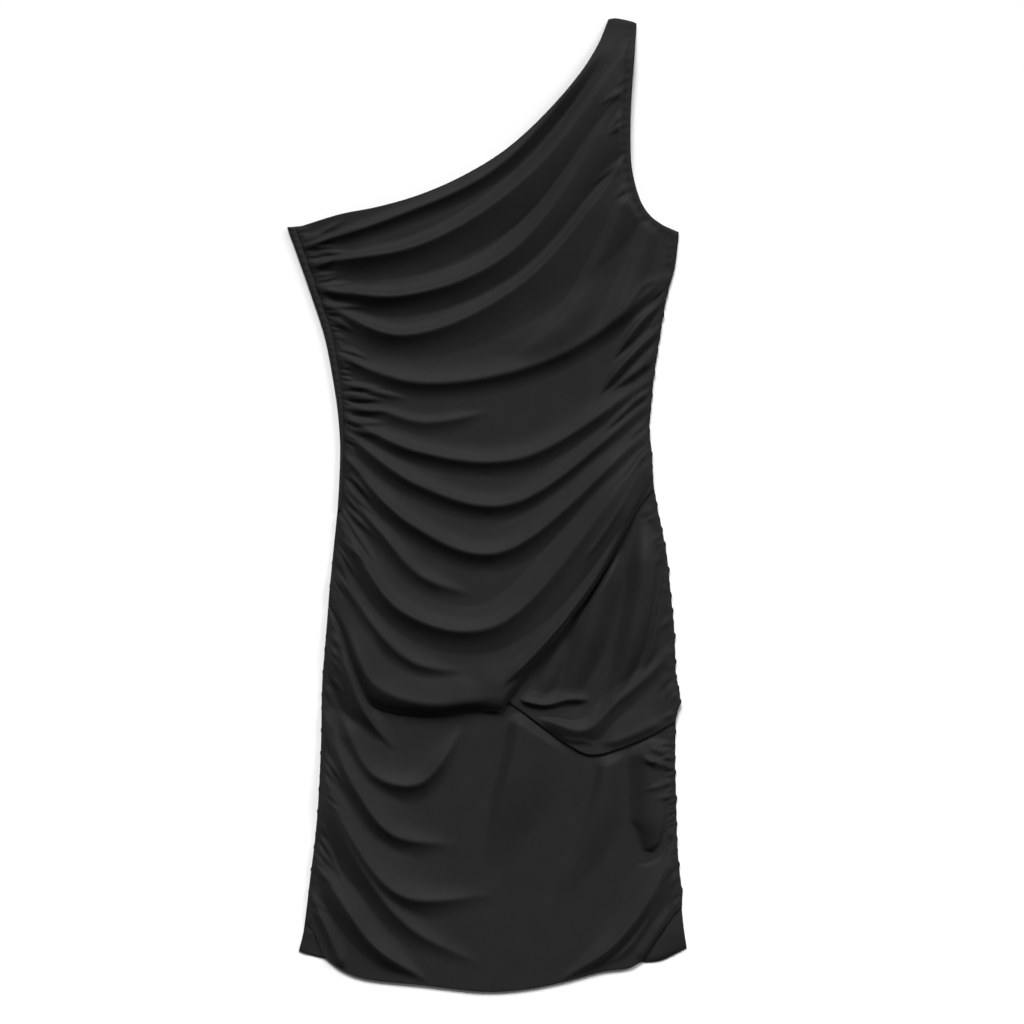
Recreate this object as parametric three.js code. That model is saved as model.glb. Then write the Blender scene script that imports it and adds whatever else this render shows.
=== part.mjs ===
// A one-shoulder dress of gathered stretch cloth, laid flat with its front up.
// Millimetres. X runs to the right of the dress as it is seen, Y up to the shoulder, Z up from the surface
// it lies on. The origin is the middle of the box round the dress, on that surface.
import * as THREE from "three";

// Driving sizes
const BACK_THICK = 1.4; // the back lies flat, so it is one plain layer
const WALL = 1.8; // a front panel, measured straight up
const LAYER_GAP = 0.4; // between a panel and the one it lies on
const SEAM_GAP = 0.3; // between the band and the drape sewn to it
const LAYER_RAMP = 30; // how far a panel takes to climb over the edge of the one below
const CALM = 6; // a lower panel stays smooth this far out from the edge that covers it
const CALM_RAMP = 18; // and its folds reach full height over this length
const EDGE_LIFT = 1.2; // a free edge stands this much off the panel below
const PINCH = 0.35; // width and height that a fold keeps where a seam gathers it
const PINCH_LENGTH = 70; // length over which such a fold opens out
const GATHER_HIGH = 1.1; // the small gathers along the side seams
const FOLD_BLEND = 2.2; // crossing folds join as their heights raised to this power
const CURVE_STEPS = 240; // steps in which a boundary is measured
const CREST_STEPS = 32; // steps in which a fold's crest is measured
const EDGE_STEP = 11; // spacing of the points along the edge of the back
const LEVEL_CELLS = 50; // cells of a boundary whose height at an X is looked up
const CLOTH = { color: 0x222223, roughness: 0.86, metalness: 0 };

// Boundaries, each a smooth curve through a few points, in millimetres
const NECKLINE = [[-181, 261], [-140, 273], [-100, 281], [-60, 293], [-20, 311], [20, 336], [60, 373],
  [90, 409], [106, 436], [115, 458]];
const STRAP_TOP = [[115, 458], [120, 459], [136, 456], [141, 454]];
const ARMHOLE = [[141, 454], [139, 424], [136, 384], [135, 350], [136, 319], [141, 296], [147, 281],
  [155, 271], [165, 264], [181, 257]];
const RIGHT_UPPER_SIDE = [[181, 257], [177, 224], [170, 199], [163, 159], [157, 118], [155, 97], [153, 71],
  [155, 51], [157, 16]];
const BAND_SEAM = [[-181, 261], [-173, 240], [-159, 200], [-146, 160], [-139, 120], [-136, 90], [-135, 50],
  [-136.5, 10], [-137.5, -4]];
const BAND_OUTER = [[-188, 262], [-180, 240], [-166, 200], [-153, 160], [-145, 120], [-140, 85], [-138, 55],
  [-139, 20], [-140.5, -5]];
const LEFT_MIDDLE_SIDE = [[-137.5, -4], [-141, -14], [-143, -34], [-146, -60], [-149, -90]];
const DRAPE_EDGE_LEFT = [[-149, -90], [-137, -115], [-126, -148], [-119, -166], [-109, -186], [-90, -194],
  [-52, -198], [-12, -193], [13, -194]];
const DRAPE_EDGE_RIGHT = [[13, -194], [34, -166], [64, -129], [82, -103], [99, -80], [129, -29], [144, -1],
  [157, 16]];
const HIP_TUCK = [[12, -168], [50, -122], [85, -75], [115, -22], [136, 10], [150, 26]];
const HIP_END = [[12, -168], [17, -183]];
const HIP_SIDE = [[150, 26], [158, 12], [160, -1], [166, -29], [170, -53], [172, -74], [176, -114],
  [177, -133], [178, -160], [182, -184], [177, -204]];
const HIP_EDGE = [[17, -183], [32, -193], [54, -209], [75, -224], [94, -234], [108, -234], [121, -230],
  [149, -219], [177, -204]];
const SKIRT_TUCK = [[-148, -78], [-128, -108], [-108, -142], [-97, -168], [-60, -180], [-20, -176],
  [14, -172], [40, -180], [62, -196], [90, -214], [122, -212], [152, -198], [180, -186]];
const SKIRT_LEFT = [[-148, -78], [-151, -118], [-155, -170], [-156, -225], [-159, -285], [-162, -318],
  [-166, -350], [-171, -392]];
const SKIRT_LEFT_CORNER = [[-171, -392], [-162, -406], [-155, -425]];
const SKIRT_RIGHT = [[180, -186], [178, -200], [177, -240], [178, -276], [179, -319], [181, -344],
  [184, -371], [183, -378]];
const SKIRT_RIGHT_CORNER = [[183, -378], [169, -396], [156, -414], [146, -430]];
const FRONT_HEM = [[-155, -425], [-138, -438], [-118, -446], [-59, -453], [0, -459], [41, -456], [79, -448],
  [109, -440], [136, -436], [146, -430]];
const BACK_LEFT_CORNER = [[-171, -392], [-173, -405], [-177, -421]];
const BACK_HEM = [[-177, -421], [-155, -427], [-60, -441], [0, -445], [60, -441], [130, -431], [162, -430],
  [188, -418]];
const BACK_RIGHT_CORNER = [[188, -418], [185, -399], [183, -378]];

// Folds: a row for each, with four points of its crest, its height, the widths of its upper and lower
// slopes, and the length over which each end fades out. An end that fades over 0 is gathered by a seam.
const FOLD_COLUMNS = ["x0", "y0", "x1", "y1", "x2", "y2", "x3", "y3",
  "high", "rise", "fall", "fade0", "fade1"];
const DRAPE_FOLDS = namedRows(FOLD_COLUMNS, [
  [-172, 250, -158, 256, -146, 262, -136, 269, 1.5, 4, 5, 0, 20],
  [-174, 243, -90, 270, 10, 318, 118, 438, 5.5, 12, 18, 0, 25],
  [-166, 229, -60, 243, 40, 309, 131, 430, 6, 10, 18, 0, 15],
  [-165, 238, -150, 238, -135, 237, -115, 238, 1.5, 4, 4, 0, 30],
  [-158, 205, -80, 196, 20, 238, 126, 384, 6.5, 9, 18, 0, 15],
  [-148, 187, -80, 161, 30, 210, 131, 348, 6.5, 8, 16, 0, 10],
  [-148, 178, -135, 174, -118, 169, -100, 166, 2, 3, 4, 0, 20],
  [50, 150, 85, 195, 105, 235, 135, 296, 3.5, 22, 12, 70, 10],
  [105, 160, 132, 203, 146, 245, 152, 268, 3, 14, 12, 50, 15],
  [-140, 139, -55, 116, 85, 146, 168, 213, 7, 26, 9, 0, 0],
  [-138, 114, -110, 108, -80, 101, -45, 99, 3, 5, 5, 0, 40],
  [-137, 86, -100, 82, -65, 77, -25, 70, 4, 10, 7, 0, 35],
  [-30, 79, 0, 80, 30, 86, 60, 97, 1.5, 10, 7, 25, 40],
  [-133, 77, -60, 46, 40, 46, 153, 119, 7, 22, 10, 0, 0],
  [-134, 66, -60, 12, 30, -1, 152, 84, 7, 24, 10, 0, 0],
  [-134, 31, -70, -20, 20, -46, 128, 44, 7, 26, 10, 0, 25],
  [-137, 8, -95, -36, -55, -70, -12, -85, 5, 14, 7, 0, 35],
  [-136, -6, -124, -24, -112, -44, -98, -66, 3, 6, 5, 0, 25],
  [-139, -14, -85, -98, 30, -98, 152, 52, 7.5, 26, 12, 0, 0],
  [-140, -48, -105, -108, -70, -145, -22, -159, 5.5, 14, 8, 0, 40],
  [-128, -115, -98, -175, -50, -190, 10, -178, 6, 24, 8, 50, 30],
  [14, -180, 50, -135, 100, -68, 152, 18, 5.5, 12, 6, 25, 0],
  [80, -65, 104, -30, 124, 2, 146, 44, 2.5, 9, 5, 30, 0],
  [122, 143, 134, 158, 148, 170, 164, 180, 3.5, 8, 7, 20, 0],
  [106, 103, 122, 126, 140, 145, 160, 155, 3.5, 8, 6, 20, 0],
  [116, 98, 130, 112, 144, 125, 158, 136, 3, 6, 5, 25, 0],
  [100, 60, 118, 72, 134, 86, 152, 103, 2.5, 10, 5, 30, 0],
]);
const HIP_FOLDS = namedRows(FOLD_COLUMNS, [
  [104, -178, 112, -140, 120, -95, 124, -45, 4, 30, 18, 25, 20],
  [138, -180, 149, -143, 158, -105, 170, -64, 4.5, 20, 8, 40, 0],
  [140, -182, 156, -166, 167, -150, 177, -136, 4, 10, 7, 30, 0],
  [104, -226, 125, -221, 145, -213, 168, -201, 3.5, 25, 5, 10, 10],
  [33, -190, 60, -188, 80, -184, 98, -184, 6, 14, 6, 5, 15],
  [42, -197, 62, -206, 84, -211, 112, -198, 4, 7, 6, 10, 30],
  [66, -217, 80, -222, 92, -224, 104, -226, 2, 4, 5, 5, 10],
]);
const SKIRT_FOLDS = namedRows(FOLD_COLUMNS, [
  [-147, -104, -133, -152, -113, -198, -84, -236, 6, 20, 8, 0, 30],
  [-145, -185, -100, -254, -58, -258, -24, -214, 4.5, 18, 12, 30, 20],
  [-151, -208, -118, -276, -80, -318, -38, -322, 6.5, 22, 9, 0, 35],
  [-157, -242, -128, -310, -85, -367, -10, -371, 6, 24, 12, 0, 50],
  [-159, -300, -154, -314, -149, -330, -143, -346, 2.5, 5, 4, 0, 15],
  [-161, -334, -138, -372, -105, -416, -60, -448, 5, 18, 14, 0, 30],
  [-166, -366, -155, -390, -145, -412, -135, -435, 4, 10, 7, 0, 5],
  [94, -350, 99, -310, 105, -275, 107, -234, 4, 14, 7, 70, 0],
  [72, -448, 118, -414, 152, -372, 178, -318, 5.5, 20, 7, 30, 0],
  [147, -430, 157, -413, 168, -396, 177, -376, 3, 8, 5, 5, 0],
  [150, -224, 158, -229, 166, -234, 175, -239, 2, 5, 3, 10, 0],
  [146, -236, 155, -241, 165, -245, 176, -247, 2, 4, 3, 10, 0],
]);
const SKIRT_HOLLOWS = namedRows(FOLD_COLUMNS, [
  [-105, -360, -80, -393, -50, -420, -10, -435, 3.5, 9, 9, 40, 30],
  [19, -190, 16, -225, 8, -265, -5, -320, 3.5, 10, 10, 20, 60],
  [30, -362, 62, -330, 82, -290, 92, -255, 2, 12, 12, 40, 30],
  [136, -232, 137, -285, 146, -328, 172, -294, 4.5, 12, 12, 20, 10],
]);

function namedRows(columns, rows) {
  return rows.map((row) => Object.fromEntries(columns.map((name, i) => [name, row[i]])));
}

function smooth(x) {
  const t = Math.min(Math.max(x, 0), 1);
  return t * t * (3 - 2 * t);
}

// Boundary curves
function curveThrough(points) {
  const corners = points.map(([x, y]) => new THREE.Vector3(x, y, 0));
  const curve = new THREE.CatmullRomCurve3(corners, false, "centripetal");
  curve.arcLengthDivisions = CURVE_STEPS;
  return curve;
}

// The points of a boundary made of one or more curves, each cut into its own number of equal lengths.
function boundary(...pieces) {
  const points = [];
  for (const [corners, cells] of pieces) {
    const cut = curveThrough(corners).getSpacedPoints(cells);
    points.push(...(points.length ? cut.slice(1) : cut));
  }
  return points;
}

// A function that gives a boundary's Y at an X, for boundaries that run from left to right.
function levelOf(...pieces) {
  const points = boundary(...pieces);
  return (x) => {
    let k = 1;
    while (k < points.length - 1 && points[k].x < x) k += 1;
    const [a, b] = [points[k - 1], points[k]];
    const share = Math.min(Math.max((x - a.x) / (b.x - a.x), 0), 1);
    return a.y + share * (b.y - a.y);
  };
}

const skirtTop = levelOf([SKIRT_TUCK, LEVEL_CELLS]);
const hipTop = levelOf([HIP_TUCK, LEVEL_CELLS]);
const drapeEdge = levelOf([DRAPE_EDGE_RIGHT, LEVEL_CELLS]);
const coverEdge = levelOf([DRAPE_EDGE_LEFT, LEVEL_CELLS], [HIP_EDGE.slice(1), LEVEL_CELLS]);

// Folds
function foldLine(row) {
  const points = [[row.x0, row.y0], [row.x1, row.y1], [row.x2, row.y2], [row.x3, row.y3]];
  const line = curveThrough(points).getSpacedPoints(CREST_STEPS);
  return { line, length: curveThrough(points).getLength() };
}

// Where a point lies beside a crest: how far off, on which side, and how far along.
function besideLine(line, length, x, y) {
  let best = { off: Infinity, side: 0, along: 0 };
  for (let k = 0; k < CREST_STEPS; k += 1) {
    const [a, b] = [line[k], line[k + 1]];
    const [dx, dy] = [b.x - a.x, b.y - a.y];
    const share = Math.min(Math.max(((x - a.x) * dx + (y - a.y) * dy) / (dx * dx + dy * dy), 0), 1);
    const off = Math.hypot(x - a.x - share * dx, y - a.y - share * dy);
    if (off < best.off) {
      const side = Math.sign(dx * (y - a.y) - dy * (x - a.x));
      best = { off, side, along: ((k + share) / CREST_STEPS) * length };
    }
  }
  return best;
}

function foldHeight(fold, x, y) {
  const { row, line, length } = fold;
  const { off, side, along } = besideLine(line, length, x, y);
  let size = 1;
  let open = 1;
  for (const [fade, distance] of [[row.fade0, along], [row.fade1, length - along]]) {
    if (fade > 0) size *= smooth(distance / fade);
    else {
      const grown = smooth(distance / Math.min(PINCH_LENGTH, length / 2));
      size *= PINCH + (1 - PINCH) * grown;
      open *= PINCH + (1 - PINCH) * grown;
    }
  }
  const width = (side > 0 ? row.rise : row.fall) * open;
  return row.high * size * (1 - smooth(off / width));
}

// The height that a table of folds gives the cloth at a point.
function foldField(rows, hollowRows = []) {
  const folds = rows.map((row) => ({ row, ...foldLine(row) }));
  const hollows = hollowRows.map((row) => ({ row, ...foldLine(row) }));
  return (x, y) => {
    const raised = folds.reduce((sum, fold) => sum + foldHeight(fold, x, y) ** FOLD_BLEND, 0);
    const sunk = hollows.reduce((sum, fold) => sum + foldHeight(fold, x, y), 0);
    return Math.max(raised ** (1 / FOLD_BLEND) - sunk, 0);
  };
}

const drapeFolds = foldField(DRAPE_FOLDS);
const hipFolds = foldField(HIP_FOLDS);
const skirtFolds = foldField(SKIRT_FOLDS, SKIRT_HOLLOWS);

// Undersides of the front panels: what they climb over, and their own folds
const FIRST_LAYER = BACK_THICK + SEAM_GAP;
const LAYER_STEP = WALL + LAYER_GAP;

function overSkirt(x, y) {
  return LAYER_STEP * smooth((skirtTop(x) + LAYER_RAMP - y) / LAYER_RAMP);
}

function overHip(x, y) {
  const reach = smooth((x - HIP_TUCK[0][0] + LAYER_RAMP) / LAYER_RAMP);
  return LAYER_STEP * reach * smooth((hipTop(x) + LAYER_RAMP - y) / LAYER_RAMP);
}

function drapeUnderside(x, y) {
  return FIRST_LAYER + overSkirt(x, y) + overHip(x, y) + drapeFolds(x, y);
}

function hipUnderside(x, y) {
  const shown = smooth((drapeEdge(x) - y - CALM) / CALM_RAMP);
  return FIRST_LAYER + overSkirt(x, y) + shown * hipFolds(x, y);
}

function skirtUnderside(x, y) {
  const shown = smooth((coverEdge(x) - y - CALM) / CALM_RAMP);
  return FIRST_LAYER + shown * skirtFolds(x, y);
}

// A panel fills four boundaries with a grid that blends between them.
function panelGrid(top, bottom, left, right) {
  const columns = top.length - 1;
  const rows = left.length - 1;
  const grid = [];
  for (let j = 0; j <= rows; j += 1) {
    const v = j / rows;
    for (let i = 0; i <= columns; i += 1) {
      const u = i / columns;
      const across = left[j].clone().lerp(right[j], u);
      const down = top[i].clone().lerp(bottom[i], v);
      const upper = top[0].clone().lerp(top[columns], u);
      const lower = bottom[0].clone().lerp(bottom[columns], u);
      grid.push(across.add(down).sub(upper.lerp(lower, v)));
    }
  }
  return { grid, columns, rows };
}

// The closed wall of a panel, from its grid and the height of its underside at each grid point.
function panelGeometry({ grid, columns, rows }, undersideOf, thick = WALL) {
  const positions = [];
  grid.forEach(({ x, y }, n) => {
    const under = undersideOf(x, y, n % (columns + 1), Math.floor(n / (columns + 1)));
    positions.push(x, y, under + thick, x, y, under);
  });
  const upper = (i, j) => 2 * (j * (columns + 1) + i);
  const lower = (i, j) => upper(i, j) + 1;
  const faces = [];
  const quad = (a, b, c, d) => faces.push(a, b, c, a, c, d);
  for (let j = 0; j < rows; j += 1) {
    for (let i = 0; i < columns; i += 1) {
      quad(upper(i, j), upper(i, j + 1), upper(i + 1, j + 1), upper(i + 1, j));
      quad(lower(i, j), lower(i + 1, j), lower(i + 1, j + 1), lower(i, j + 1));
    }
    quad(upper(0, j), lower(0, j), lower(0, j + 1), upper(0, j + 1));
    quad(upper(columns, j + 1), lower(columns, j + 1), lower(columns, j), upper(columns, j));
  }
  for (let i = 0; i < columns; i += 1) {
    quad(upper(i + 1, 0), lower(i + 1, 0), lower(i, 0), upper(i, 0));
    quad(upper(i, rows), lower(i, rows), lower(i + 1, rows), upper(i + 1, rows));
  }
  const geometry = new THREE.BufferGeometry();
  geometry.setAttribute("position", new THREE.Float32BufferAttribute(positions, 3));
  geometry.setIndex(faces);
  geometry.computeVertexNormals();
  return geometry;
}

// Every second row of a gathered panel rises a little at the side seams.
function sideGather(column, columns, row) {
  const atSeam = column === 0 || column === columns;
  return atSeam && row % 2 === 1 ? GATHER_HIGH : 0;
}

function clothMesh(name, geometry) {
  const mesh = new THREE.Mesh(geometry, new THREE.MeshStandardMaterial(CLOTH));
  mesh.name = name;
  return mesh;
}

// Pieces
function edgePoints(corners) {
  return boundary([corners, Math.ceil(curveThrough(corners).getLength() / EDGE_STEP)]);
}

// The back has the whole outline. Its edges run clockwise from the top of the left side.
function back() {
  const rightSide = [NECKLINE, STRAP_TOP, ARMHOLE, RIGHT_UPPER_SIDE, HIP_SIDE.slice(1), SKIRT_RIGHT.slice(1)];
  const leftSide = [BAND_OUTER, SKIRT_LEFT, BACK_LEFT_CORNER, BACK_HEM, BACK_RIGHT_CORNER];
  const upwards = leftSide.reverse().map((corners) => [...corners].reverse());
  const loop = [...rightSide, ...upwards].flatMap(edgePoints);
  const outline = new THREE.Shape(loop.map(({ x, y }) => new THREE.Vector2(x, y)));
  return clothMesh("back", new THREE.ExtrudeGeometry(outline, { depth: BACK_THICK, bevelEnabled: false }));
}

const DRAPE_COLUMNS = 20;
const DRAPE_ROWS = 88;
const BAND_ROWS = 66; // those of them on the band's seam
const STRAP_ROWS = 5;
const ARMHOLE_ROWS = 38;

function frontDrape() {
  const sideRows = DRAPE_ROWS - STRAP_ROWS - ARMHOLE_ROWS;
  const grid = panelGrid(
    boundary([NECKLINE, DRAPE_COLUMNS]),
    boundary([DRAPE_EDGE_LEFT, DRAPE_COLUMNS / 2], [DRAPE_EDGE_RIGHT, DRAPE_COLUMNS / 2]),
    boundary([BAND_SEAM, BAND_ROWS], [LEFT_MIDDLE_SIDE, DRAPE_ROWS - BAND_ROWS]),
    boundary([STRAP_TOP, STRAP_ROWS], [ARMHOLE, ARMHOLE_ROWS], [RIGHT_UPPER_SIDE, sideRows]),
  );
  const under = (x, y, column, row) => {
    const free = row === DRAPE_ROWS ? EDGE_LIFT : 0;
    return drapeUnderside(x, y) + free + sideGather(column, DRAPE_COLUMNS, row);
  };
  return clothMesh("front_drape", panelGeometry(grid, under));
}

function sideBand() {
  const seam = boundary([BAND_SEAM, BAND_ROWS]).map((p) => p.clone().setX(p.x - SEAM_GAP));
  const outer = boundary([BAND_OUTER, BAND_ROWS]);
  const grid = panelGrid([outer[0], seam[0]], [outer[BAND_ROWS], seam[BAND_ROWS]], outer, seam);
  return clothMesh("side_band", panelGeometry(grid, () => FIRST_LAYER));
}

const HIP_COLUMNS = 30;
const HIP_ROWS = 18;

function hipDrape() {
  const grid = panelGrid(
    boundary([HIP_TUCK, HIP_COLUMNS]),
    boundary([HIP_EDGE, HIP_COLUMNS]),
    boundary([HIP_END, HIP_ROWS]),
    boundary([HIP_SIDE, HIP_ROWS]),
  );
  return clothMesh("hip_drape", panelGeometry(grid, hipUnderside));
}

const SKIRT_COLUMNS = 28;
const SKIRT_ROWS = 38;
const SKIRT_CORNER_ROWS = 4; // at the hem, where the side edge turns in
const SKIRT_TUCKED_ROWS = 4; // at the top, under the drapes

function skirtFront() {
  const sideRows = SKIRT_ROWS - SKIRT_CORNER_ROWS;
  const grid = panelGrid(
    boundary([SKIRT_TUCK, SKIRT_COLUMNS]),
    boundary([FRONT_HEM, SKIRT_COLUMNS]),
    boundary([SKIRT_LEFT, sideRows], [SKIRT_LEFT_CORNER, SKIRT_CORNER_ROWS]),
    boundary([SKIRT_RIGHT, sideRows], [SKIRT_RIGHT_CORNER, SKIRT_CORNER_ROWS]),
  );
  const under = (x, y, column, row) => {
    const gather = row > SKIRT_TUCKED_ROWS ? sideGather(column, SKIRT_COLUMNS, row) : 0;
    return skirtUnderside(x, y) + gather;
  };
  return clothMesh("skirt_front", panelGeometry(grid, under));
}

const dress = new THREE.Group();
dress.add(back(), sideBand(), skirtFront(), hipDrape(), frontDrape());

export default dress;
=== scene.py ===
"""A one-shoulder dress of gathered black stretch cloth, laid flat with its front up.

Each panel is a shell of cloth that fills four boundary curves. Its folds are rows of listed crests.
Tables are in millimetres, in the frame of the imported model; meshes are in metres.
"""
import math

import bpy
import numpy as np
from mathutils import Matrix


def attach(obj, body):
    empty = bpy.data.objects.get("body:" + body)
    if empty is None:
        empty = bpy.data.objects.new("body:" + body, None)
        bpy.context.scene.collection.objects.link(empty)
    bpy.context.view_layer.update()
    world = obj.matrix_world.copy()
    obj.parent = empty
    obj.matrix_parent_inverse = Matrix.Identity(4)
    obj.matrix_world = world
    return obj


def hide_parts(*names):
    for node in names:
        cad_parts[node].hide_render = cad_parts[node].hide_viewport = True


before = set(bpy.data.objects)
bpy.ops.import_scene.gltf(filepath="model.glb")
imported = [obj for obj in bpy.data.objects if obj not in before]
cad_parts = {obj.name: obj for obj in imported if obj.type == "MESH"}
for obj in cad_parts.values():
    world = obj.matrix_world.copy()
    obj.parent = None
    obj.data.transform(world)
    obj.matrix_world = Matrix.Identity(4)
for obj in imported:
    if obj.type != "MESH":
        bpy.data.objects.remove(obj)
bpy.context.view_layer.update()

# Layers, in millimetres
MM = 0.001
BACK_THICK = 1.4
CAD_WALL = 1.8  # the solids' wall, in whose middle the cloth lies
CLOTH = 0.8  # the cloth with its turned edges
LAYER_GAP = 0.4
SEAM_GAP = 0.3
LAYER_RAMP = 30.0  # how long an upper panel takes to climb over a lower one
CALM = 2.0  # how far from its cover's edge a lower panel has no folds
CALM_RAMP = 12.0  # and over what further length they grow

# Fold profiles
CREST_STEPS = 48
CREST_ROUND = 1.3  # the radius of a crest, in millimetres
RISE_HOLLOW = 3.4  # how hollow an empty fold's slopes are, as powers
FALL_HOLLOW = 2.4
FULL_POWER = 2.3
FOLD_BLEND = 3.2  # how sharply folds stay apart where they meet, as a power
TIP_WIDTH = 0.4  # the share of its width that a fading end keeps
PINCH = 0.32  # the share of its height that a gathered end keeps
PINCH_LENGTH = 66.0
PINCH_WIDTH_POWER = 0.4

# Seams and free edges, in millimetres
SEAM_STEPS = 160
UNDERARM_STEPS = 30
SEAM_HELD = 0.3  # the share of the folds left right at a seam
SEAM_REACH = 9.0
SEAM_SINK = 0.5
SEAM_SINK_REACH = 2.5
SEAM_RISE = 7.0  # how high the front drape stands off, away from its seams
LEFT_RISE_REACH = 62.0
RIGHT_RISE_REACH = 42.0
SCALLOP_PITCH = 11.0
SCALLOP_DEPTH = 0.9
WIDE_SCALLOP_PITCH = 12.5
SCALLOP_RAMP = 0.05  # the share of a seam over which its scallops start and end
FIRST_WAVE, SECOND_WAVE = 0.6, 0.4  # the shares of two waves that make the scallops uneven
WAVE_RATIO = 1.7
EDGE_ROLL = 0.42  # the least radius of a rolled edge
ROLL_IN, ROLL_OUT = 0.2, 0.1  # the shares of an edge over which its roll grows and shrinks
ROLL_STEPS = 7
ROLL_TAIL = 5.0
EDGE_SINK = 1.2
EDGE_BLEND = 14.0
EDGE_DROP_POWER = 2.2
DRAPE_DEPTH = 480.0  # each drape's depth from its top boundary to its free edge
HIP_DEPTH = 180.0

# The side band, in millimetres
BAND_LENGTH = 272.0
BAND_PUFF = 1.5
BAND_FLATNESS = 0.6  # a low power makes the puffed strip flatter on top
BAND_PUCKER = 0.3
BAND_PUCKER_LEAN = 0.7
BAND_PUCKER_PITCH = 6.3
BAND_SWAY = 2.2
BAND_SWAY_LENGTH = 8.8
BAND_CELLS = 8

# Cells of the panels' grids
BACK_COLUMNS, BACK_BAND_ROWS, BACK_SIDE_ROWS, BACK_CORNER_ROWS = 60, 50, 80, 20
BAND_ROWS = 180
DRAPE_COLUMNS = 150
DRAPE_LEFT_ROWS = (225, 75)  # along the band and below it
DRAPE_RIGHT_ROWS = (16, 130, 154)  # along the strap's top, the armhole and the side
HIP_COLUMNS, HIP_ROWS = 130, 110
SKIRT_COLUMNS, SKIRT_SIDE_ROWS, SKIRT_CORNER_ROWS = 200, 160, 30
UNGATHERED_DRAPE_ROWS = 20  # just below the armhole
COVERED_HIP_ROWS = 8

# Boundaries, in millimetres
NECKLINE = [(-181, 261), (-140, 273), (-100, 281), (-60, 293), (-20, 311), (20, 336), (60, 373),
            (90, 409), (106, 436), (115, 458)]
STRAP_TOP = [(115, 458), (120, 459), (136, 456), (141, 454)]
ARMHOLE = [(141, 454), (139, 424), (136, 384), (135, 350), (136, 319), (141, 296), (147, 281),
           (155, 271), (165, 264), (181, 257)]
RIGHT_UPPER_SIDE = [(181, 257), (177, 224), (170, 199), (163, 159), (157, 118), (155, 97), (153, 71),
                    (155, 51), (157, 16)]
BAND_SEAM = [(-181, 261), (-173, 240), (-159, 200), (-146, 160), (-139, 120), (-136, 90), (-135, 50),
             (-136.5, 10), (-137.5, -4)]
BAND_OUTER = [(-188, 262), (-180, 240), (-166, 200), (-153, 160), (-145, 120), (-140, 85), (-138, 55),
              (-139, 20), (-140.5, -5)]
LEFT_MIDDLE_SIDE = [(-137.5, -4), (-141, -14), (-143, -34), (-146, -60), (-149, -90)]
DRAPE_EDGE_LEFT = [(-149, -90), (-137, -115), (-126, -148), (-119, -166), (-109, -186), (-90, -194),
                   (-52, -198), (-12, -193), (13, -194)]
DRAPE_EDGE_RIGHT = [(13, -194), (34, -166), (64, -129), (82, -103), (99, -80), (129, -29), (144, -1),
                    (157, 16)]
HIP_TUCK = [(12, -168), (50, -122), (85, -75), (115, -22), (136, 10), (150, 26)]
HIP_END = [(12, -168), (17, -183)]
HIP_SIDE = [(150, 26), (158, 12), (160, -1), (166, -29), (170, -53), (172, -74), (176, -114),
            (177, -133), (178, -160), (182, -184), (177, -204)]
HIP_EDGE = [(17, -183), (32, -193), (54, -209), (75, -224), (94, -234), (108, -234), (121, -230),
            (149, -219), (177, -204)]
SKIRT_TUCK = [(-148, -78), (-128, -108), (-108, -142), (-97, -168), (-60, -180), (-20, -176),
              (14, -172), (40, -180), (62, -196), (90, -214), (122, -212), (152, -198), (180, -186)]
SKIRT_LEFT = [(-148, -78), (-151, -118), (-155, -170), (-156, -225), (-159, -285), (-162, -318),
              (-166, -350), (-171, -392)]
SKIRT_LEFT_CORNER = [(-171, -392), (-162, -406), (-155, -425)]
SKIRT_RIGHT = [(180, -186), (178, -200), (177, -240), (178, -276), (179, -319), (181, -344),
               (184, -371), (183, -378)]
SKIRT_RIGHT_CORNER = [(183, -378), (169, -396), (156, -414), (146, -430)]
FRONT_HEM = [(-155, -425), (-138, -438), (-118, -446), (-59, -453), (0, -459), (41, -456), (79, -448),
             (109, -440), (136, -436), (146, -430)]
BACK_LEFT_CORNER = [(-171, -392), (-173, -405), (-177, -421)]
BACK_HEM = [(-177, -421), (-155, -427), (-60, -441), (0, -445), (60, -441), (130, -431), (162, -430),
            (188, -418)]
BACK_RIGHT_CORNER = [(183, -378), (185, -399), (188, -418)]

# Folds: four points of the crest, its height, the widths of its slopes on the left and the right of that
# line as it runs, the length over which each end fades out, and how full the fold is at each end. An end
# that fades over 0 is gathered by a seam. A full fold is a soft roll with a sharp valley beside it, and
# an empty one a sharp crest with hollow slopes. Swells are soft ridges on top of the folds, and hollows are
# soft troughs.
FOLD_COLUMNS = ("x0", "y0", "x1", "y1", "x2", "y2", "x3", "y3", "high", "rise0", "rise1", "fall0", "fall1",
                "fade0", "fade1", "full0", "full1")


def named_rows(columns, rows):
    """The rows of a table, each as a dictionary of its columns."""
    return [dict(zip(columns, row)) for row in rows]


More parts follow.
